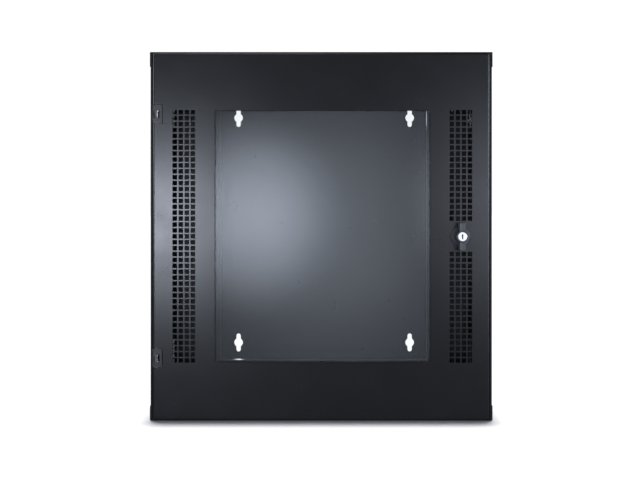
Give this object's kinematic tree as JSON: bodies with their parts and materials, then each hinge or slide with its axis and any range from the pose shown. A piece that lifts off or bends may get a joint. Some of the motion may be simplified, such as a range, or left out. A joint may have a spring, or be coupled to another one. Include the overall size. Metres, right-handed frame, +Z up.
{
  "type": "wall-mount network rack cabinet",
  "caption": "Black steel wall-mount rack cabinet with a glass-window vented front door, wing-handle key lock, swing-out centre section and adjustable mounting rails.",
  "frame": {"origin": "middle of the face that rests on the wall, which is also the middle of the four keyholes", "axes": "+Y into the wall, -Y out of the front door, +X to the right as seen from the front, +Z up"},
  "size_m": [0.5954, 0.658, 0.63],
  "materials": {
    "black_powder_coat": "fine-texture semi-gloss black powder coat",
    "black_frame_paint": "satin black powder coat",
    "black_screws": "black oxide",
    "zinc_plate": "bright zinc plate",
    "bright_steel": "ground bright steel",
    "chrome_plate": "polished chrome",
    "handle_black": "satin black moulding",
    "gasket_rubber": "matt black rubber",
    "seal_foam": "closed-cell black foam",
    "window_glass": "clear tempered glass"
  },
  "bodies": {
    "wall_section": {"wall_back_plate": "black_powder_coat", "wall_top_panel": "black_powder_coat", "wall_bottom_panel": "black_powder_coat", "wall_cable_covers": "black_frame_paint", "wall_cover_screws": "zinc_plate", "wall_flange_screws": "black_screws", "swing_hinge_wall_leaves": "black_frame_paint", "swing_hinge_pins": "bright_steel", "swing_hinge_wall_screws": "black_screws", "lock_keeper": "zinc_plate", "wall_ground_stud": "zinc_plate"},
    "centre_section": {"top_panel": "black_powder_coat", "bottom_panel": "black_powder_coat", "left_side_panel": "black_powder_coat", "right_side_panel": "black_powder_coat", "front_frame": "black_frame_paint", "rear_frame": "black_frame_paint", "rail_braces": "black_frame_paint", "fan_blanking_discs": "black_frame_paint", "fan_disc_screws": "zinc_plate", "cable_covers": "black_frame_paint", "cable_cover_screws": "zinc_plate", "flange_screws": "black_screws", "swing_hinge_centre_leaves": "black_frame_paint", "swing_hinge_centre_screws": "black_screws", "door_hinge_brackets": "black_frame_paint", "door_seal": "seal_foam", "door_strike": "zinc_plate", "strike_rivets": "zinc_plate", "swing_lock_housing": "chrome_plate", "swing_lock_nut": "zinc_plate", "centre_ground_stud": "zinc_plate"},
    "left_rail": {"left_rail": "black_frame_paint", "left_rail_bolts": "zinc_plate"},
    "right_rail": {"right_rail": "black_frame_paint", "right_rail_bolts": "zinc_plate"},
    "door": {"door_panel": "black_powder_coat", "window_gasket": "gasket_rubber", "window_glass": "window_glass", "window_retainer": "black_frame_paint", "retainer_studs": "zinc_plate", "retainer_nuts": "zinc_plate", "door_stiffeners": "black_frame_paint", "door_ground_stud": "zinc_plate", "door_hinge_lugs": "black_frame_paint", "lock_escutcheon": "handle_black", "lock_housing": "black_screws", "lock_nut": "zinc_plate"},
    "upper_hinge_pin": {"upper_hinge_pin": "bright_steel", "upper_hinge_spring": "bright_steel"},
    "lower_hinge_pin": {"lower_hinge_pin": "bright_steel", "lower_hinge_spring": "bright_steel"},
    "door_handle": {"wing_handle": "handle_black", "lock_spindle": "black_screws", "latch_cam": "black_screws", "cam_screw": "zinc_plate"},
    "key_plug": {"key_plug": "chrome_plate"},
    "swing_lock": {"swing_lock_plug": "chrome_plate", "swing_lock_cam": "zinc_plate", "swing_cam_screw": "zinc_plate"}
  },
  "joints": [
    {"name": "centre_swing", "type": "hinge", "parent": "wall_section", "child": "centre_section", "pos_m": [0.2979, -0.1005, 0], "axis": [0, 0, 1], "range_deg": [0, 95]},
    {"name": "door_swing", "type": "hinge", "parent": "centre_section", "child": "door", "pos_m": [-0.2816, -0.625, 0], "axis": [0, 0, -1], "range_deg": [0, 135]},
    {"name": "handle_turn", "type": "hinge", "parent": "door", "child": "door_handle", "pos_m": [0.2372, -0.63, 0], "axis": [0, 1, 0], "range_deg": [0, 90]},
    {"name": "key_turn", "type": "hinge", "parent": "door_handle", "child": "key_plug", "pos_m": [0.2372, -0.65, 0], "axis": [0, 1, 0], "range_deg": [0, 90]},
    {"name": "swing_lock_turn", "type": "hinge", "parent": "centre_section", "child": "swing_lock", "pos_m": [-0.28, -0.125, 0], "axis": [-1, 0, 0], "range_deg": [0, 90]},
    {"name": "upper_pin_slide", "type": "slide", "parent": "centre_section", "child": "upper_hinge_pin", "axis": [0, 0, 1], "range_m": [-0.0065, 0], "stiffness_N_per_m": 500, "springref_m": 0.004, "deforming": ["upper_hinge_spring"]},
    {"name": "lower_pin_slide", "type": "slide", "parent": "centre_section", "child": "lower_hinge_pin", "axis": [0, 0, 1], "range_m": [-0.0065, 0], "stiffness_N_per_m": 500, "springref_m": 0.004, "deforming": ["lower_hinge_spring"]},
    {"name": "left_rail_slide", "type": "slide", "parent": "centre_section", "child": "left_rail", "axis": [0, 1, 0], "range_m": [0, 0.34]},
    {"name": "right_rail_slide", "type": "slide", "parent": "centre_section", "child": "right_rail", "axis": [0, 1, 0], "range_m": [0, 0.34]}
  ]
}
